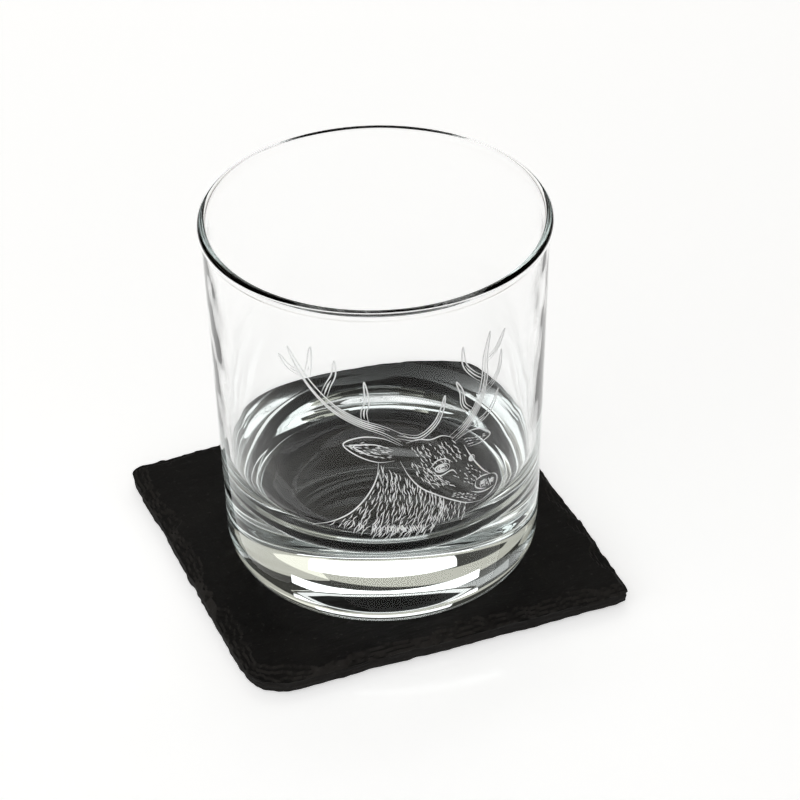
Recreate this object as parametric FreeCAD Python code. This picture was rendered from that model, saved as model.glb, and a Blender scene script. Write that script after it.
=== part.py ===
"""Heavy-based whiskey tumbler standing on a square slate coaster.

Millimetres, +Z up. The origin is on the table, under the centre of the coaster's square.
X and Y run along the coaster's edges, and -Y is the front, the side nearer the tumbler.
"""
import FreeCAD, Part
import math
import os

# Slate coaster
COASTER_SIDE = 100.0
SLATE_THICKNESS = 5.0
SLATE_CORNER_RADIUS = 4.0
BEVEL_WIDTH = 2.6            # the chipped slope around the top edge, seen from above
BEVEL_DROP = 1.8
ARRIS_RADIUS = 0.4           # the cut edge around the underside

# Self-adhesive felt feet under the coaster
FOOT_RADIUS = 5.0
FOOT_THICKNESS = 1.5
FOOT_INSET = 13.0            # from the coaster's edges to a foot's centre
FOOT_EDGE_RADIUS = 0.3

# Tumbler: outside
TUMBLER_HEIGHT = 98.6
BASE_RADIUS = 39.2           # where the tapered wall would meet the coaster
WALL_TOP_RADIUS = 42.1       # just under the lip
HEEL_RADIUS = 10.3           # rounding between the wall and the foot
LIP_RADIUS = 42.9
LIP_THICKNESS = 2.2
LIP_DROP = 1.9               # from the rim down to the lip's lower edge
NECK_DROP = 3.2              # from the rim down to where the plain wall starts
NECK_ROUNDING = 2.0
LIP_UNDERSIDE_ROUNDING = 0.8
LIP_TOP_FLAT = 0.02          # what the two roundings of the lip leave between them

# Tumbler: inside and underside
FLOOR_THICKNESS = 20.6       # solid glass under the drink
CAVITY_FLOOR_RADIUS = 37.3   # where the inner wall would meet the floor
FLOOR_FILLET = 16.0          # wide enough to make the inside almost a bowl
PUNT_RADIUS = 26.0           # shallow hollow that leaves a ring to stand on
PUNT_DEPTH = 1.5

# The tumbler stands a little off the coaster's centre
TUMBLER_X = -0.7
TUMBLER_Y = -8.5

COASTER_TOP = FOOT_THICKNESS + SLATE_THICKNESS


def rounded_corner(before, corner, after, radius):
    """The two tangent points and the middle of the arc that rounds a corner."""
    to_before = (before - corner).normalize()
    to_after = (after - corner).normalize()
    half_angle = to_before.getAngle(to_after) / 2
    bisector = (to_before + to_after).normalize()
    reach = radius / math.tan(half_angle)
    centre_distance = radius / math.sin(half_angle)
    return (
        corner + to_before * reach,
        corner + bisector * (centre_distance - radius),
        corner + to_after * reach,
    )


def rounded_outline(corners):
    """Closed face in the XZ plane from (r, z, corner radius) triples."""
    points = [FreeCAD.Vector(r, 0, z) for r, z, _ in corners]
    edges = []
    cursor = points[0]
    for index in range(1, len(corners)):
        radius = corners[index][2]
        if radius == 0:
            edges.append(Part.LineSegment(cursor, points[index]).toShape())
            cursor = points[index]
            continue
        start, middle, end = rounded_corner(
            points[index - 1], points[index], points[index + 1], radius
        )
        edges.append(Part.LineSegment(cursor, start).toShape())
        edges.append(Part.Arc(start, middle, end).toShape())
        cursor = end
    edges.append(Part.LineSegment(cursor, points[0]).toShape())
    return Part.Face(Part.Wire(edges))


def tumbler_glass():
    """One blown piece: tapered wall, round lip, thick base with a shallow punt."""
    lip_top_rounding = (LIP_THICKNESS - LIP_TOP_FLAT) / 2
    outline = rounded_outline([
        (0, 0, 0),
        (BASE_RADIUS, 0, HEEL_RADIUS),
        (WALL_TOP_RADIUS, TUMBLER_HEIGHT - NECK_DROP, NECK_ROUNDING),
        (LIP_RADIUS, TUMBLER_HEIGHT - LIP_DROP, LIP_UNDERSIDE_ROUNDING),
        (LIP_RADIUS, TUMBLER_HEIGHT, lip_top_rounding),
        (LIP_RADIUS - LIP_THICKNESS, TUMBLER_HEIGHT, lip_top_rounding),
        (CAVITY_FLOOR_RADIUS, FLOOR_THICKNESS, FLOOR_FILLET),
        (0, FLOOR_THICKNESS, 0),
    ])
    glass = outline.revolve(FreeCAD.Vector(0, 0, 0), FreeCAD.Vector(0, 0, 1), 360)
    punt_sphere_radius = (PUNT_RADIUS ** 2 + PUNT_DEPTH ** 2) / (2 * PUNT_DEPTH)
    punt_centre = FreeCAD.Vector(0, 0, PUNT_DEPTH - punt_sphere_radius)
    glass = glass.cut(Part.makeSphere(punt_sphere_radius, punt_centre))
    glass.translate(FreeCAD.Vector(TUMBLER_X, TUMBLER_Y, COASTER_TOP))
    return glass


def slate_coaster():
    """Square slate tile with rounded corners and a chipped slope around its top."""
    half = COASTER_SIDE / 2
    tile = Part.makeBox(
        COASTER_SIDE, COASTER_SIDE, SLATE_THICKNESS, FreeCAD.Vector(-half, -half, FOOT_THICKNESS)
    )
    upright = [e for e in tile.Edges if abs(e.tangentAt(e.FirstParameter).z) > 0.9]
    tile = tile.makeFillet(SLATE_CORNER_RADIUS, upright)
    top_face = max(tile.Faces, key=lambda face: face.CenterOfMass.z)
    tile = tile.makeChamfer(BEVEL_DROP, BEVEL_WIDTH, top_face.Edges)
    under_face = min(tile.Faces, key=lambda face: face.CenterOfMass.z)
    return tile.makeFillet(ARRIS_RADIUS, under_face.Edges)


def felt_foot(side_x, side_y):
    """Round felt pad with a softened lower edge; side_x and side_y pick the corner."""
    reach = COASTER_SIDE / 2 - FOOT_INSET
    pad = Part.makeCylinder(FOOT_RADIUS, FOOT_THICKNESS)
    lower_edge = [e for e in pad.Edges if e.Closed and e.CenterOfMass.z < FOOT_THICKNESS / 2]
    pad = pad.makeFillet(FOOT_EDGE_RADIUS, lower_edge)
    pad.translate(FreeCAD.Vector(side_x * reach, side_y * reach, 0))
    return pad


def sub_parts():
    """Every separate piece, by node name."""
    pieces = {"tumbler_glass": tumbler_glass(), "slate_coaster": slate_coaster()}
    for depth_name, side_y in (("front", -1), ("back", 1)):
        for width_name, side_x in (("left", -1), ("right", 1)):
            pieces[f"felt_foot_{depth_name}_{width_name}"] = felt_foot(side_x, side_y)
    return pieces


os.makedirs("parts", exist_ok=True)
for node, shape in sub_parts().items():
    shape.exportStep(f"parts/{node}.step")
    box = shape.optimalBoundingBox()
    print(
        f"{node}: {box.XLength:.2f} x {box.YLength:.2f} x {box.ZLength:.2f} mm,"
        f" {shape.Volume / 1000:.2f} cm3, {len(shape.Solids)} solid, valid {shape.isValid()}"
    )
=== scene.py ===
"""The looks of the whiskey tumbler and the slate coaster it stands on.

Metres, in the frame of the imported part: +Z up, -Y to the front, the table at z = 0.
"""

import math
import random

import bpy
from mathutils import Matrix, Vector, noise


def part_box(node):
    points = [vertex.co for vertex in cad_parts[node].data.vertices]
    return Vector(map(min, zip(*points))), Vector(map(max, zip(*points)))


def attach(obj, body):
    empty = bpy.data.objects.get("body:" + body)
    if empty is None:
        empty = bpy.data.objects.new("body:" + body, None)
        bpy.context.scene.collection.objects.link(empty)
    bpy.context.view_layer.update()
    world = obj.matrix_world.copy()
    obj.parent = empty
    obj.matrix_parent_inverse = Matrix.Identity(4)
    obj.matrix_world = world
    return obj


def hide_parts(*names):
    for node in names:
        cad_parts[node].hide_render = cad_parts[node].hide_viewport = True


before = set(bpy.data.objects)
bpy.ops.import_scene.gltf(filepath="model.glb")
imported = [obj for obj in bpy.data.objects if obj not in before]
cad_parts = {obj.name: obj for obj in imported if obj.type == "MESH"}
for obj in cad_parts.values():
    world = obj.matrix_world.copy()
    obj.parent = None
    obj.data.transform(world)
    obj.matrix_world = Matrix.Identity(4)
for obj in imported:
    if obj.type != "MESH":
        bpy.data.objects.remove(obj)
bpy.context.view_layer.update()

MM = 0.001

# ------------------------------------------------------------------ sizes from the frame
glass_low, glass_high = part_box("tumbler_glass")
slate_low, slate_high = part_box("slate_coaster")

AXIS = Vector(((glass_low.x + glass_high.x) / 2, (glass_low.y + glass_high.y) / 2, 0))
FOOT_Z = glass_low.z
HEIGHT = glass_high.z - glass_low.z
LIP_RADIUS = (glass_high.x - glass_low.x) / 2

BASE_RADIUS = LIP_RADIUS - 3.7 * MM
WALL_TOP_RADIUS = LIP_RADIUS - 0.8 * MM
WALL_TOP = HEIGHT - 3.2 * MM
NECK_ROUNDING = 2 * MM
HEEL_RADIUS = 10.3 * MM
LIP_THICKNESS = 2.2 * MM
LIP_UNDERSIDE = HEIGHT - 1.9 * MM
LIP_UNDERSIDE_ROUNDING = 0.8 * MM
LIP_TOP_ROUNDING = LIP_THICKNESS / 2 - 0.01 * MM
FLOOR_THICKNESS = 20.6 * MM
CAVITY_FLOOR_RADIUS = LIP_RADIUS - 5.6 * MM
FLOOR_FILLET = 16 * MM
PUNT_RADIUS = 26 * MM
PUNT_DEPTH = 1.5 * MM

SLATE_HALF = (slate_high.x - slate_low.x) / 2
SLATE_TOP = slate_high.z
SLATE_UNDERSIDE = slate_low.z
BACK_CORNER = 4 * MM
FRONT_LEFT_CORNER = 10 * MM
FRONT_RIGHT_CORNER = 2 * MM
CHIP_WIDTH = 2.6 * MM
NARROWEST_CHIP = 0.7 * MM
CHIP_DEPTH = 1.8 * MM
CHIP_RAGGEDNESS = 0.45 * MM
CHIP_LEDGE = 0.6 * MM
WANDER_REACH = 9 * MM
SWELL_DEPTH = 0.75 * MM
LEDGE_HEIGHT = 0.19 * MM
SIDE_INSET = 0.6 * MM
SIDE_LAYER_LENGTH = 5 * MM
SIDE_LAYER_THICKNESS = 0.55 * MM

FOOT_LOWER_ROUNDING = 0.3 * MM
FOOT_UPPER_ROUNDING = 0.1 * MM
FUR_DEPTH = 0.09 * MM
FUR_SIZE = 0.35 * MM

# The engraving faces this way, as an angle about the tumbler's axis
ENGRAVING_ANGLE = math.radians(-110.7)


# ------------------------------------------------------------------ helpers
def mesh_object(name, vertices, faces, material, sharp_angle=None):
    """A smooth-shaded object; edges that bend by more than sharp_angle degrees stay sharp."""
    mesh = bpy.data.meshes.new(name)
    mesh.from_pydata([tuple(v) for v in vertices], [], faces)
    mesh.materials.append(material)
    mesh.polygons.foreach_set("use_smooth", [True] * len(mesh.polygons))
    if sharp_angle is not None:
        mesh.set_sharp_from_angle(angle=math.radians(sharp_angle))
    mesh.update()
    piece = bpy.data.objects.new(name, mesh)
    bpy.context.scene.collection.objects.link(piece)
    return piece


def rounded_outline(corners, arc_steps):
    """(r, z) points along a path of (r, z, corner radius) triples, with each corner an arc."""
    path = [Vector(corners[0][:2])]
    for before, corner, after in zip(corners, corners[1:], corners[2:]):
        radius = corner[2]
        here = Vector(corner[:2])
        if radius == 0:
            path.append(here)
            continue
        back = (Vector(before[:2]) - here).normalized()
        onward = (Vector(after[:2]) - here).normalized()
        half_angle = back.angle(onward) / 2
        centre = here + (back + onward).normalized() * (radius / math.sin(half_angle))
        start = here + back * (radius / math.tan(half_angle)) - centre
        turn = math.copysign(math.pi - 2 * half_angle, back.y * onward.x - back.x * onward.y)
        for step in range(arc_steps + 1):
            spoke = start.copy()
            spoke.rotate(Matrix.Rotation(turn * step / arc_steps, 2))
            path.append(centre + spoke)
    path.append(Vector(corners[-1][:2]))
    return path


def divided(path, longest):
    """The path with every run longer than longest cut into equal parts."""
    points = [path[0]]
    for start, end in zip(path, path[1:]):
        parts = max(1, math.ceil((end - start).length / longest))
        points += [start.lerp(end, part / parts) for part in range(1, parts + 1)]
    return points


def polar(reach, angle, height):
    """The point this far out from the z axis, at this angle about it and this high."""
    return Vector((reach * math.cos(angle), reach * math.sin(angle), height))


def lathe(path, segments, centre, shift):
    """Vertices and faces of a closed solid of revolution. The path starts and ends on the axis.

    shift(radius, height, angle) says how far each point moves outwards.
    """
    vertices = []
    for radius, height in path[1:-1]:
        for segment in range(segments):
            angle = math.tau * segment / segments
            reach = radius + shift(radius, height, angle)
            vertices.append(centre + polar(reach, angle, height))
    rings = len(path) - 2
    first_pole = len(vertices)
    vertices += [centre + Vector((0, 0, path[0].y)), centre + Vector((0, 0, path[-1].y))]
    faces = []
    for segment in range(segments):
        after = (segment + 1) % segments
        faces.append((first_pole, after, segment))
        for ring in range(rings - 1):
            low, high = ring * segments, (ring + 1) * segments
            faces.append((low + segment, low + after, high + after, high + segment))
        last = (rings - 1) * segments
        faces.append((last + segment, last + after, first_pole + 1))
    return vertices, faces


def eased(value):
    """0 to 1 with a soft start and end, for a value clamped to that range."""
    value = min(max(value, 0), 1)
    return value * value * (3 - 2 * value)


def stepped(value, step):
    """The value gathered into flat ledges, step apart, with short slopes between them."""
    whole = math.floor(value / step)
    part = value / step - whole
    return step * (whole + eased((part - 0.5) * 3.5 + 0.5))


# ------------------------------------------------------------------ materials
def new_material(name):
    """A node material, with its node tree and its main shader."""
    material = bpy.data.materials.new(name)
    material.use_nodes = True
    tree = material.node_tree
    return material, tree, tree.nodes["Principled BSDF"]


def noise_over(tree, features_per_metre, detail, stretch=(1, 1, 1)):
    """Noise over the object's own coordinates; returns its 0 to 1 output."""
    place = tree.nodes.new("ShaderNodeTexCoord")
    mapping = tree.nodes.new("ShaderNodeMapping")
    mapping.inputs["Scale"].default_value = stretch
    texture = tree.nodes.new("ShaderNodeTexNoise")
    texture.inputs["Scale"].default_value = features_per_metre
    texture.inputs["Detail"].default_value = detail
    tree.links.new(place.outputs["Object"], mapping.inputs["Vector"])
    tree.links.new(mapping.outputs["Vector"], texture.inputs["Vector"])
    return texture.outputs["Fac"]


def ramp(tree, value, stops):
    """A colour ramp over value; stops are (place, grey or colour) pairs."""
    node = tree.nodes.new("ShaderNodeValToRGB")
    elements = node.color_ramp.elements
    while len(elements) < len(stops):
        elements.new(0.5)
    for element, (place, colour) in zip(elements, stops):
        element.position = place
        element.color = (*colour, 1)
    tree.links.new(value, node.inputs["Fac"])
    return node.outputs["Color"]


def added(tree, colour, more):
    """The sum of two colours."""
    mix = tree.nodes.new("ShaderNodeMix")
    mix.data_type = "RGBA"
    mix.blend_type = "ADD"
    mix.inputs["Factor"].default_value = 1
    tree.links.new(colour, mix.inputs["A"])
    tree.links.new(more, mix.inputs["B"])
    return mix.outputs["Result"]


def bump(tree, shader, height, strength, distance, below=None):
    """Adds a bump to the shader, or over another bump given as below; returns its normal."""
    node = tree.nodes.new("ShaderNodeBump")
    node.inputs["Strength"].default_value = strength
    node.inputs["Distance"].default_value = distance
    tree.links.new(height, node.inputs["Height"])
    if below is not None:
        tree.links.new(below, node.inputs["Normal"])
    tree.links.new(node.outputs["Normal"], shader.inputs["Normal"])
    return node.outputs["Normal"]


def clear_glass():
    """Soda-lime glass: colourless face on, green where it is seen through its length."""
    material, tree, shader = new_material("clear_glass")
    shader.inputs["Base Color"].default_value = (1, 1, 1, 1)
    shader.inputs["Roughness"].default_value = 0
    shader.inputs["IOR"].default_value = 1.52
    shader.inputs["Transmission Weight"].default_value = 1
    shader.inputs["Specular Tint"].default_value = (0.03, 0.03, 0.03, 1)
    bump(tree, shader, noise_over(tree, 55, 1), 0.04, 0.1 * MM)
    absorption = tree.nodes.new("ShaderNodeVolumeAbsorption")
    absorption.inputs["Color"].default_value = (0.62, 0.85, 0.82, 1)
    absorption.inputs["Density"].default_value = 3
    tree.links.new(absorption.outputs[0], tree.nodes["Material Output"].inputs["Volume"])
    return material


def frosted_line():
    """The scattering surface that an engraving wheel leaves in glass."""
    material, tree, shader = new_material("frosted_line")
    speckle = noise_over(tree, 4000, 2)
    tree.links.new(ramp(tree, speckle, [(0.3, (0.8, 0.81, 0.81)), (0.7, (0.95, 0.96, 0.96))]),
                   shader.inputs["Base Color"])
    shader.inputs["Roughness"].default_value = 0.6
    shader.inputs["Specular IOR Level"].default_value = 0.3
    bump(tree, shader, speckle, 0.4, 0.02 * MM)
    return material


def riven_slate():
    """Near-black slate: a cloudy bloom, pale flecks, a tone that is paler where the face slopes and a
    fine split grain.
    """
    material, tree, shader = new_material("riven_slate")
    cloud = noise_over(tree, 70, 7)
    fleck = noise_over(tree, 900, 3, (1, 1, 3))
    dark = ramp(tree, cloud, [(0.35, (0.0028, 0.0024, 0.0022)), (0.7, (0.0105, 0.0095, 0.0085))])
    pale = ramp(tree, fleck, [(0.62, (0, 0, 0)), (0.8, (0.02, 0.019, 0.018))])
    geometry = tree.nodes.new("ShaderNodeNewGeometry")
    level = tree.nodes.new("ShaderNodeSeparateXYZ")
    tree.links.new(geometry.outputs["Normal"], level.inputs["Vector"])
    # Colour set by how steeply the surface slopes: dark on the upright sides, palest on middling
    # slopes, black where the face lies flat
    paler_on_slopes = ramp(tree, level.outputs["Z"],
                 [(0.2, (0.002, 0.0018, 0.0016)), (0.7, (0.014, 0.0125, 0.011)), (0.97, (0, 0, 0))])
    flecked = added(tree, dark, pale)
    tree.links.new(added(tree, flecked, paler_on_slopes), shader.inputs["Base Color"])
    tree.links.new(ramp(tree, cloud, [(0.2, (0.72, 0.72, 0.72)), (0.8, (0.92, 0.92, 0.92))]),
                   shader.inputs["Roughness"])
    shader.inputs["Specular IOR Level"].default_value = 0.22
    grain = bump(tree, shader, noise_over(tree, 1400, 5), 0.6, 0.15 * MM)
    bump(tree, shader, noise_over(tree, 160, 6, (1, 2.2, 1)), 1.0, 0.6 * MM, grain)
    return material


def pressed_felt():
    """Dark pressed felt: matted fibres with a soft sheen."""
    material, tree, shader = new_material("pressed_felt")
    fibres = noise_over(tree, 2600, 6, (1, 0.35, 1))
    tree.links.new(ramp(tree, fibres, [(0.3, (0.02, 0.02, 0.022)), (0.7, (0.07, 0.07, 0.075))]),
                   shader.inputs["Base Color"])
    shader.inputs["Roughness"].default_value = 0.95
    shader.inputs["Specular IOR Level"].default_value = 0.1
    shader.inputs["Sheen Weight"].default_value = 0.4
    bump(tree, shader, fibres, 0.8, 0.12 * MM)
    return material


FLOOR_GLOW = 0.56
GLOW_FULL_WITHIN = 0.35
GLOW_LOWEST_FROM = 0.9


def pale_floor():
    """White acrylic lit from below, most strongly around the coaster."""
    material, tree, shader = new_material("pale_floor")
    tree.links.new(ramp(tree, noise_over(tree, 3, 2), [(0.3, (0.88,) * 3), (0.7, (0.9,) * 3)]),
                   shader.inputs["Base Color"])
    shader.inputs["Roughness"].default_value = 0.9
    shader.inputs["Specular IOR Level"].default_value = 0
    place = tree.nodes.new("ShaderNodeTexCoord")
    away = tree.nodes.new("ShaderNodeVectorMath")
    away.operation = "LENGTH"
    tree.links.new(place.outputs["Object"], away.inputs[0])
    glow = ramp(tree, away.outputs["Value"],
                [(GLOW_FULL_WITHIN, (1, 1, 1)), (GLOW_LOWEST_FROM, (0.6, 0.58, 0.54))])
    tree.links.new(glow, shader.inputs["Emission Color"])
    shader.inputs["Emission Strength"].default_value = FLOOR_GLOW
    return material


# ------------------------------------------------------------------ tumbler
def outer_radius(height):
    """The tapered wall's outside, this far above the tumbler's foot."""
    return BASE_RADIUS + (WALL_TOP_RADIUS - BASE_RADIUS) * height / WALL_TOP


# The waves start above the thick base, grow to full height over the fade-in, and shrink to
# nothing at the rim over the fade-out
WAVE_HEIGHT = 0.03 * MM
WAVES_START = 40 * MM
WAVES_FADE_IN = 20 * MM
WAVES_FADE_OUT = 8 * MM
LEAN_HEIGHT = 30 * MM
OUTSIDE_MARGIN = 0.8 * MM

# Radians for each metre of height
WAVE_TWIST = 2.2

# How many waves go round, how strong they are, and how far they lean over each LEAN_HEIGHT
WAVES = ((7, 0.9, 3), (13, 0.8, -5), (23, 0.55, 9), (37, 0.3, -14))


def blown_waves(radius, height, angle):
    """The slight twisted waves that blowing leaves inside the wall, above the thick base."""
    outside = radius > outer_radius(height) - OUTSIDE_MARGIN
    if outside:
        return 0
    twist = angle + WAVE_TWIST * height
    waves = 0
    for count, weight, lean in WAVES:
        waves += weight * math.sin(count * twist + lean * height / LEAN_HEIGHT + count)
    fade_in = eased((height - WAVES_START) / WAVES_FADE_IN)
    fade_out = eased((HEIGHT - height) / WAVES_FADE_OUT)
    side_strength = 0.1 + 0.9 * math.sin(angle - ENGRAVING_ANGLE) ** 8
    return WAVE_HEIGHT * waves * (fade_in * fade_out) * side_strength


TUMBLER_SEGMENTS = 320
TUMBLER_ARC_STEPS = 12
TUMBLER_LONGEST_RUN = 2 * MM


def tumbler(material):
    """One solid of revolution: punt, heel, tapered wall, rounded lip and bowl-shaped inside."""
    outline = rounded_outline([
        (0, PUNT_DEPTH, 0),
        (PUNT_RADIUS, 0, 0),
        (BASE_RADIUS, 0, HEEL_RADIUS),
        (WALL_TOP_RADIUS, WALL_TOP, NECK_ROUNDING),
        (LIP_RADIUS, LIP_UNDERSIDE, LIP_UNDERSIDE_ROUNDING),
        (LIP_RADIUS, HEIGHT, LIP_TOP_ROUNDING),
        (LIP_RADIUS - LIP_THICKNESS, HEIGHT, LIP_TOP_ROUNDING),
        (CAVITY_FLOOR_RADIUS, FLOOR_THICKNESS, FLOOR_FILLET),
        (0, FLOOR_THICKNESS, 0),
    ], TUMBLER_ARC_STEPS)
    path = divided(outline, TUMBLER_LONGEST_RUN)
    sphere = (PUNT_RADIUS ** 2 + PUNT_DEPTH ** 2) / (2 * PUNT_DEPTH)
    for point in path:
        in_punt = point.x < PUNT_RADIUS and point.y < FLOOR_THICKNESS / 2
        if in_punt:
            point.y = PUNT_DEPTH - sphere + math.sqrt(sphere ** 2 - point.x ** 2)
    foot = AXIS + Vector((0, 0, FOOT_Z))
    vertices, faces = lathe(path, TUMBLER_SEGMENTS, foot, blown_waves)
    piece = mesh_object("tumbler_body", vertices, faces, material)
    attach(piece, "tumbler")
    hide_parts("tumbler_glass")


# ------------------------------------------------------------------ engraving
# Drawn in millimetres on the unrolled wall: across from the engraving's middle line, and up
# from the tumbler's foot.
OUTLINE_WIDTH = 0.38
HAIR_WIDTH = 0.26
LINE_RISE = 0.015
CURVE_STEPS = 6


def smooth_line(points):
    """A Catmull-Rom curve through the points."""
    spots = [Vector(p) for p in points]
    spots = [2 * spots[0] - spots[1]] + spots + [2 * spots[-1] - spots[-2]]
    line = []
    for a, b, c, d in zip(spots, spots[1:], spots[2:], spots[3:]):
        for step in range(CURVE_STEPS):
            t = step / CURVE_STEPS
            line.append(((2 * b) + (c - a) * t + (2 * a - 5 * b + 4 * c - d) * t * t
                         + (3 * b - a - 3 * c + d) * t ** 3) / 2)
    line.append(spots[-2])
    return line


def side_of(points, index):
    """The unit normal of a line at one of its points."""
    along = points[min(index + 1, len(points) - 1)] - points[max(index - 1, 0)]
    return Vector((-along.y, along.x)).normalized()


def antler(points, base_width, grain):
    """Both edges of a branch that tapers to a rounded tip, with grain lines along its inside."""
    centre = smooth_line(points)
    last = len(centre) - 1
    edges = []
    for side in (-1, 1):
        edge = []
        for index, spot in enumerate(centre):
            half = base_width / 2 * (1 - 0.55 * index / last) * math.sqrt(1 - (index / last) ** 6)
            edge.append(spot + side_of(centre, index) * side * half)
        edges.append(edge)
    lines = [edges[0] + edges[1][::-1]]
    for line in range(grain):
        share = (line + 1) / (grain + 1)
        first = random.randint(0, last // 4)
        until = random.randint(last // 2, last - 1)
        lines.append([edges[0][i].lerp(edges[1][i], share) for i in range(first, until)])
    return lines


def hair(guide_a, guide_b, rows, columns, length, lean=0.0):
    """Short strokes that flow from one guide line's direction to the other's."""
    line_a, line_b = smooth_line(guide_a), smooth_line(guide_b)
    strokes = []
    for row in range(rows):
        for column in range(columns):
            across = (row + random.uniform(0.1, 0.9)) / rows
            along = (column + random.uniform(0.1, 0.9)) / columns
            index_a = min(int(along * (len(line_a) - 1)), len(line_a) - 2)
            index_b = min(int(along * (len(line_b) - 1)), len(line_b) - 2)
            spot = line_a[index_a].lerp(line_b[index_b], across)
            flow_a = (line_a[index_a + 1] - line_a[index_a]).normalized()
            flow_b = (line_b[index_b + 1] - line_b[index_b]).normalized()
            flow = flow_a.lerp(flow_b, across).normalized()
            flow.rotate(Matrix.Rotation(lean + random.uniform(-0.25, 0.25), 2))
            bend = Vector((-flow.y, flow.x)) * random.uniform(-0.12, 0.12)
            reach = length * random.uniform(0.6, 1.3)
            strokes.append([spot, spot + (flow / 2 + bend) * reach, spot + flow * reach])
    return strokes


def stag_outlines():
    """Edges of the antlers, ears, face and neck."""
    lines = []
    left_beam = [(6, 60.5), (1, 64), (-5, 66.5), (-11, 70), (-16, 75), (-19.5, 80), (-22.5, 85.5)]
    right_beam = [(17.5, 58.5), (21.5, 61.5), (25, 66.5), (26.8, 73), (27, 79), (28.5, 86)]
    lines += antler(left_beam, 2.6, 3)
    lines += antler(right_beam, 2.6, 3)
    for tine in (
        [(4, 62.5), (9, 61.2), (13, 64), (15, 68), (15.8, 72)],
        [(-3.5, 66), (-3.8, 69.5), (-3, 73), (-3.6, 78.5)],
        [(-13.5, 73), (-12.3, 76.5), (-10.8, 80), (-10.6, 84)],
        [(-17.5, 78), (-16.8, 82), (-16.4, 87)],
        [(-18.6, 78.5), (-22, 79.5), (-25, 82.5)],
    ):
        lines += antler(tine, 1.7, 1)
    for tine in (
        [(21.5, 61.5), (25.5, 61.2), (29, 63.5), (31.2, 68)],
        [(26, 69), (29.5, 71), (31.5, 74), (32.2, 79)],
        [(26.3, 73), (23.2, 76), (21, 79.5), (20.6, 84.5)],
        [(27, 78), (30.5, 80), (33.4, 84.5)],
        [(23.4, 64.5), (20.8, 67.5), (20.2, 71.5), (18.8, 75)],
    ):
        lines += antler(tine, 1.6, 1)
    near_ear = [
        (4.5, 59.5), (0.5, 61.8), (-4.5, 62.2), (-9, 59.8), (-6, 56.8), (-1, 54.8), (3.2, 55),
    ]
    inner_ear = [(3, 58.2), (-1.5, 60), (-6.5, 59.4), (-3.5, 57.2), (0.5, 56.2)]
    far_ear = [(19, 58), (22.5, 59.2), (25.8, 58.4), (28.6, 55.6), (25.6, 54.4), (22.2, 54.6)]
    brow = [(6, 60), (9, 60.6), (12, 59.9), (15, 60.3), (18, 58.8)]
    far_cheek = [(20.8, 55.6), (22.2, 52.5), (24.2, 48.8), (26.6, 45.4), (28.6, 43.4)]
    muzzle = [(28.6, 43.4), (30.2, 42.6), (31, 40.9), (30.2, 38.6), (28, 37.2), (25.4, 36.6)]
    jaw = [(25.4, 36.6), (21.6, 37.6), (17.6, 40), (13.2, 43), (9.4, 46), (6.6, 50), (4.6, 54.6)]
    mouth = [(29.8, 39.2), (27.4, 38.9), (25, 39.4), (22.8, 40.6)]
    nose_top = [(24.2, 43.4), (26, 43.9), (28.6, 43.4)]
    nose_side = [(24.2, 43.4), (24, 41.6), (25.2, 40.4), (27.2, 39.6)]
    nape = [(-0.6, 54.8), (-1.2, 50), (-3.4, 44.8), (-7.2, 39.6), (-12, 36), (-17.5, 33.6)]
    throat = [(15.2, 41.6), (15, 38.6), (13.4, 35.8)]
    lines += [smooth_line(line) for line in (
        near_ear, inner_ear, far_ear, brow, far_cheek, muzzle,
        jaw, mouth, nose_top, nose_side, nape, throat,
    )]
    for nostril in ((26.4, 41.9), (29.2, 41.2)):
        lines += rings_around(nostril, (0.75, 0.45), 2)
    lines += rings_around((15, 50.6), (1.9, 1.15), 3)
    lines += rings_around((23, 50.8), (0.8, 0.85), 2)
    lines.append(smooth_line([(11.8, 51.2), (13.4, 53), (15.6, 53.2), (17.6, 51.6)]))
    lines.append(smooth_line([(12.4, 49.2), (14.6, 48.4), (17.4, 49.2), (18.8, 47.6)]))
    return lines


def rings_around(centre, radii, count):
    """Nested ellipses, for an eye or a nostril."""
    rings = []
    for ring in range(count):
        share = 1 - ring / count
        spots = []
        for step in range(17):
            angle = math.tau * step / 16
            spots.append(Vector((
                centre[0] + radii[0] * share * math.cos(angle),
                centre[1] + radii[1] * share * math.sin(angle),
            )))
        rings.append(spots)
    return rings


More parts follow.
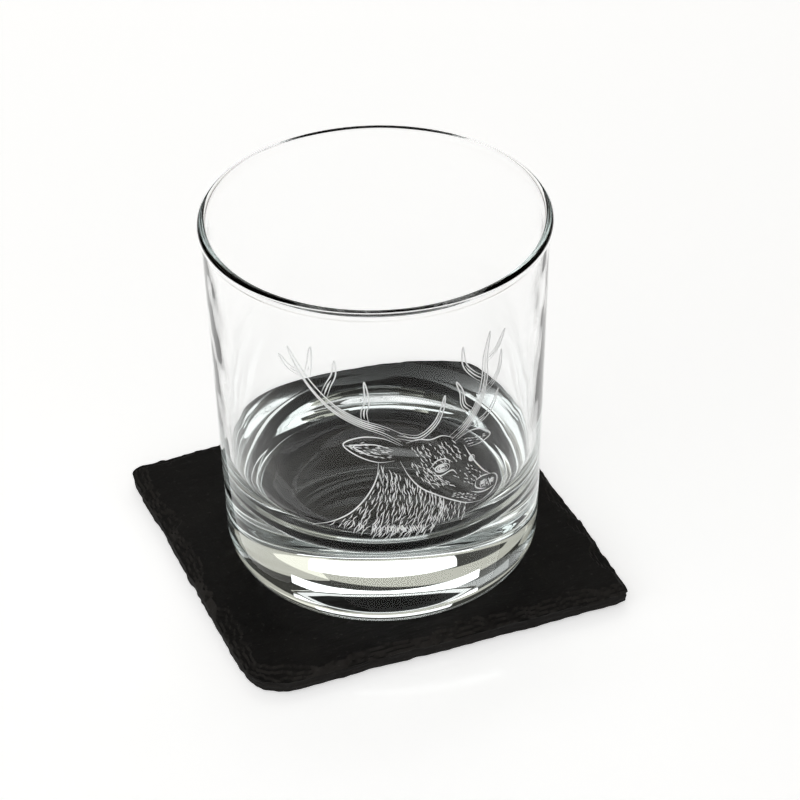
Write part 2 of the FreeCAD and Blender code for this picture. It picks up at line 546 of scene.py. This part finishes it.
def stag_hair():
    """Hatching: the neck's long coat, then the short hair of the face and ears."""
    strokes = []
    nape = [(-0.4, 54), (-1, 50), (-3, 45), (-7, 39.8), (-13, 35.4)]
    middle = [(8, 48), (7.6, 44), (6, 39.5), (3.5, 35.5), (1, 32.4)]
    throat = [(15, 42), (15.4, 39.6), (15, 37), (14, 35), (12.6, 32.6)]
    strokes += hair(nape, middle, 11, 13, 2.4, 0.25)
    strokes += hair(middle, throat, 9, 11, 2.4)
    strokes += hair([(-8, 37), (-1, 33.6)], [(6, 35), (14, 34.8)], 2, 24, 1.9, -1.2)
    for guide_a, guide_b, rows, columns, length in (
        ([(14, 41), (13.6, 34.5)], [(22, 38), (20.6, 34)], 6, 5, 1.8),
        ([(6, 59.4), (8.4, 55), (11, 51)], [(17.6, 58.2), (19.6, 55), (21.4, 51.6)], 9, 7, 1.5),
        ([(6.6, 54.6), (8.6, 50), (12, 45.6)], [(12.4, 50.4), (15, 47.6), (18.6, 44)], 6, 8, 1.6),
        ([(17.6, 47.4), (20.4, 44.6), (23, 42)], [(22.6, 50), (24.2, 47.2), (26, 44.6)], 4, 6, 1.1),
        ([(2.8, 58.8), (-3, 60.8), (-8, 59.8)], [(2.6, 55.8), (-2.4, 56.2), (-7.4, 58.6)], 6, 7, 1.3),
        ([(20.4, 57.6), (27, 56.8)], [(21.8, 55.2), (27, 55.4)], 3, 5, 1.1),
        ([(25, 43), (25.4, 40.8)], [(30, 42), (29.6, 40)], 9, 3, 0.8),
        ([(17, 40.6), (24, 37.2)], [(18, 42.6), (25, 39)], 3, 7, 1.1),
    ):
        strokes += hair(guide_a, guide_b, rows, columns, length)
    return strokes


def on_wall(spot, rise):
    """The place of a drawn point on the tumbler's outside, standing this far out of the glass."""
    height = spot.y * MM
    reach = outer_radius(height)
    angle = ENGRAVING_ANGLE + spot.x * MM / reach
    reach += rise * MM
    return AXIS + polar(reach, angle, FOOT_Z + height)


def engraving(material):
    """Every line is a low ridge: two feet just inside the glass and a crest just outside it."""
    random.seed(7)
    vertices, faces = [], []
    drawn = [(line, OUTLINE_WIDTH) for line in stag_outlines()]
    drawn += [(stroke, HAIR_WIDTH) for stroke in stag_hair()]
    for line, width in drawn:
        first = len(vertices)
        last = len(line) - 1
        for index, spot in enumerate(line):
            taper = 0.25 + 0.75 * eased(min(index, last - index) / max(1, last / 3))
            side = side_of(line, index) * (width / 2 * taper)
            vertices.append(on_wall(spot - side, -LINE_RISE))
            vertices.append(on_wall(spot + side, -LINE_RISE))
            vertices.append(on_wall(spot, LINE_RISE))
        for index in range(last):
            ring = first + index * 3
            for a, b in ((0, 1), (1, 2), (2, 0)):
                faces.append((ring + b, ring + 3 + b, ring + 3 + a, ring + a))
        faces.append((first + 2, first + 1, first))
        end = first + last * 3
        faces.append((end, end + 1, end + 2))
    piece = mesh_object("engraved_stag", vertices, faces, material, 30)
    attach(piece, "tumbler")


# ------------------------------------------------------------------ slate coaster
def corner_radius(x, y):
    """The front left corner is broken off wide, and the front right one is nearly sharp."""
    if y > 0:
        return BACK_CORNER
    return FRONT_LEFT_CORNER if x < 0 else FRONT_RIGHT_CORNER


def corner_rounded(x, y):
    """Moves a point of the coaster's square into the same square with rounded corners."""
    radius = corner_radius(x, y)
    inner = SLATE_HALF - radius
    a = (abs(x) - inner) / radius
    b = (abs(y) - inner) / radius
    if a <= 0 or b <= 0:
        return Vector((x, y))
    return Vector((
        math.copysign(inner + radius * a * math.sqrt(1 - b * b / 2), x),
        math.copysign(inner + radius * b * math.sqrt(1 - a * a / 2), y),
    ))


def edge_distance(point):
    """How far inside the rounded square's outline a point lies."""
    radius = corner_radius(point.x, point.y)
    inner = SLATE_HALF - radius
    out_x, out_y = abs(point.x) - inner, abs(point.y) - inner
    beyond = Vector((max(out_x, 0), max(out_y, 0))).length
    return radius - beyond - min(max(out_x, out_y), 0)


def noise_at(point, size, layer):
    """Smooth noise from -1 to 1 with features of this size."""
    return noise.noise(Vector((point.x / size, point.y / size, layer)))


def chipped(point):
    """The point as the broken outline moves it, and how far the chips cut down there."""
    distance = edge_distance(point)
    on_edge = point * (SLATE_HALF / max(abs(point.x), abs(point.y), MM))
    wander = 0.6 * noise_at(on_edge, 21 * MM, 4.5) + 0.3 * noise_at(on_edge, 2.2 * MM, 8.5) + 0.1
    fade = eased(1 - distance / WANDER_REACH)
    width = CHIP_WIDTH * (
        1.35 + 1.1 * noise_at(on_edge, 8 * MM, 2.5) + 0.4 * noise_at(on_edge, 2.4 * MM, 6.5)
    )
    slope = max(0, 1 - distance / max(width, NARROWEST_CHIP))
    ragged = CHIP_RAGGEDNESS * noise_at(point, 2.6 * MM, 3.5) * eased(slope * 3)
    depth = stepped(max(0, CHIP_DEPTH * slope + ragged), CHIP_LEDGE)
    return point * (1 + wander * MM * fade / SLATE_HALF), depth


# The ledges and grain never come nearer to zero than this, in millimetres, so it is taken off
# and the tumbler stands on the highest ledge
HIGHEST_LEDGE = 0.12


def riven_depth(point):
    """How far the split face lies below the tumbler's foot: wide ledges with a fine grain."""
    swell = 0.5 + 0.35 * noise_at(point, 27 * MM, 1.5) + 0.25 * noise_at(point, 11 * MM, 5.5)
    grain = 0.035 * noise_at(point, 1.9 * MM, 7.5) + 0.06 * noise_at(point, 5 * MM, 9.5)
    return max(0, stepped(swell * SWELL_DEPTH, LEDGE_HEIGHT) + (grain - HIGHEST_LEDGE) * MM)


SLATE_CELLS = 210
SLATE_SIDE_ROWS = 8


def slate(material):
    """A riven tile: a grid over the square for its face, then layered sides and a flat back."""
    vertices, faces = [], []
    for row in range(SLATE_CELLS + 1):
        for column in range(SLATE_CELLS + 1):
            x = (2 * column / SLATE_CELLS - 1) * SLATE_HALF
            y = (2 * row / SLATE_CELLS - 1) * SLATE_HALF
            point = corner_rounded(x, y)
            moved, depth = chipped(point)
            depth += riven_depth(point)
            vertices.append(Vector((moved.x, moved.y, SLATE_TOP - depth)))
    across = SLATE_CELLS + 1
    for row in range(SLATE_CELLS):
        for column in range(SLATE_CELLS):
            low = row * across + column
            faces.append((low, low + 1, low + across + 1, low + across))
    loop = list(range(SLATE_CELLS))
    loop += [row * across + SLATE_CELLS for row in range(SLATE_CELLS)]
    loop += [SLATE_CELLS * across + column for column in range(SLATE_CELLS, 0, -1)]
    loop += [row * across for row in range(SLATE_CELLS, 0, -1)]
    rim = [vertices[index] for index in loop]
    above = loop
    for row in range(1, SLATE_SIDE_ROWS + 1):
        below = []
        for spot in rim:
            height = spot.z + (SLATE_UNDERSIDE - spot.z) * row / SLATE_SIDE_ROWS
            layer = noise_at(spot, SIDE_LAYER_LENGTH, height / SIDE_LAYER_THICKNESS)
            inset = (0.5 + 0.5 * layer) * SIDE_INSET
            inward = 1 - inset / SLATE_HALF
            below.append(len(vertices))
            vertices.append(Vector((spot.x * inward, spot.y * inward, height)))
        for index in range(len(loop)):
            after = (index + 1) % len(loop)
            faces.append((above[after], above[index], below[index], below[after]))
        above = below
    middle = len(vertices)
    vertices.append(Vector((0, 0, SLATE_UNDERSIDE)))
    for index in range(len(loop)):
        faces.append((above[(index + 1) % len(loop)], above[index], middle))
    piece = mesh_object("riven_slate_tile", vertices, faces, material, 32)
    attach(piece, "coaster")
    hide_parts("slate_coaster")


# ------------------------------------------------------------------ felt feet
FOOT_SEGMENTS = 120
FOOT_ARC_STEPS = 4
FOOT_LONGEST_RUN = 0.3 * MM


def felt_foot(node, material):
    """A punched felt pad with a soft lower edge and a slightly furry cut side."""
    low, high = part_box(node)
    radius = (high.x - low.x) / 2
    thickness = high.z - low.z
    centre = Vector(((low.x + high.x) / 2, (low.y + high.y) / 2, low.z))
    outline = rounded_outline([
        (0, 0, 0),
        (radius, 0, FOOT_LOWER_ROUNDING),
        (radius, thickness, FOOT_UPPER_ROUNDING),
        (0, thickness, 0),
    ], FOOT_ARC_STEPS)

    def fur(reach, height, angle):
        on_cut_side = reach > 0.9 * radius
        if not on_cut_side:
            return 0
        spot = polar(reach, angle, height) + centre
        return -FUR_DEPTH * (1 + noise.noise(spot / FUR_SIZE))

    path = divided(outline, FOOT_LONGEST_RUN)
    vertices, faces = lathe(path, FOOT_SEGMENTS, centre, fur)
    piece = mesh_object(node.replace("felt_foot", "felt_pad"), vertices, faces, material)
    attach(piece, "coaster")
    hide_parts(node)


# ------------------------------------------------------------------ stage
FLOOR_REACH = 4


def stage():
    """The floor, out to FLOOR_REACH metres each way."""
    signs = ((-1, -1), (1, -1), (1, 1), (-1, 1))
    corners = [(x * FLOOR_REACH, y * FLOOR_REACH, 0) for x, y in signs]
    mesh_object("floor", corners, [(0, 1, 2, 3)], pale_floor())


WARM_WHITE = (1, 0.96, 0.84)


def softbox(name, aim, azimuth, elevation, distance, width, height, radiance, colour=(1, 1, 1)):
    """A rectangular light seen from aim at this azimuth (0 is +Y) and elevation, facing aim."""
    flat = math.cos(math.radians(elevation))
    towards = Vector((
        math.sin(math.radians(azimuth)) * flat,
        math.cos(math.radians(azimuth)) * flat,
        math.sin(math.radians(elevation)),
    ))
    light = bpy.data.lights.new(name, "AREA")
    light.shape = "RECTANGLE"
    light.size = width
    light.size_y = height
    light.color = colour
    light.energy = radiance * width * height * math.pi
    lamp = bpy.data.objects.new(name, light)
    lamp.location = aim + towards * distance
    lamp.rotation_euler = towards.to_track_quat("Z", "Y").to_euler()
    bpy.context.scene.collection.objects.link(lamp)


def lighting():
    """Softboxes around the tumbler's middle, and a dark studio behind them."""
    aim = AXIS + Vector((0, 0, FOOT_Z + HEIGHT / 2))
    softbox("overhead_softbox", aim + Vector((0, 0.35, 0)), 0, 90, 1.1, 1.3, 1.3, 0.35)
    softbox("back_softbox", aim, 21, 28, 1.0, 0.61, 0.19, 1.4)
    softbox("back_strip", aim, 20, 46.5, 1.0, 0.85, 0.12, 2)
    softbox("back_fill", aim, 5, 37.5, 1.25, 4.0, 0.19, 0.5, WARM_WHITE)
    softbox("left_fill", aim, 62, 33, 1.2, 0.9, 0.35, 0.5, WARM_WHITE)
    softbox("right_fill", aim, -62, 33, 1.2, 0.9, 0.35, 0.5, WARM_WHITE)
    softbox("front_softbox", aim, -140, 30, 1.2, 2.6, 1.3, 1.1)
    world = bpy.data.worlds.new("studio")
    world.use_nodes = True
    world.node_tree.nodes["Background"].inputs["Color"].default_value = (0.05, 0.048, 0.042, 1)
    bpy.context.scene.world = world


def camera():
    """Looks down at the tumbler from the front, 21 degrees round towards -X."""
    azimuth, elevation, roll = map(math.radians, (-21.1, 35.05, -1.17))
    distance = 0.8875
    target = Vector((6.7, -3.4, 45.4)) * MM
    back = Vector((
        math.sin(azimuth) * math.cos(elevation),
        -math.cos(azimuth) * math.cos(elevation),
        math.sin(elevation),
    ))
    data = bpy.data.cameras.new("camera")
    data.lens = 158.7
    data.sensor_width = 36
    data.clip_start = 0.01
    lens = bpy.data.objects.new("camera", data)
    level = back.to_track_quat("Z", "Y").to_matrix()
    lens.rotation_euler = (level @ Matrix.Rotation(roll, 3, "Z")).to_euler()
    lens.location = target + back * distance
    bpy.context.scene.collection.objects.link(lens)
    bpy.context.scene.camera = lens


def render_settings():
    """A plain view transform, and enough bounces for light to pass through all the glass."""
    scene = bpy.context.scene
    scene.view_settings.view_transform = "Standard"
    scene.cycles.max_bounces = 24
    scene.cycles.transmission_bounces = 24
    scene.cycles.glossy_bounces = 12
    scene.cycles.caustics_refractive = True
    scene.cycles.caustics_reflective = True
    scene.cycles.blur_glossy = 0


camera()
lighting()
stage()
render_settings()
tumbler(clear_glass())
engraving(frosted_line())
slate(riven_slate())
felt = pressed_felt()
for depth_name in ("front", "back"):
    for width_name in ("left", "right"):
        felt_foot(f"felt_foot_{depth_name}_{width_name}", felt)
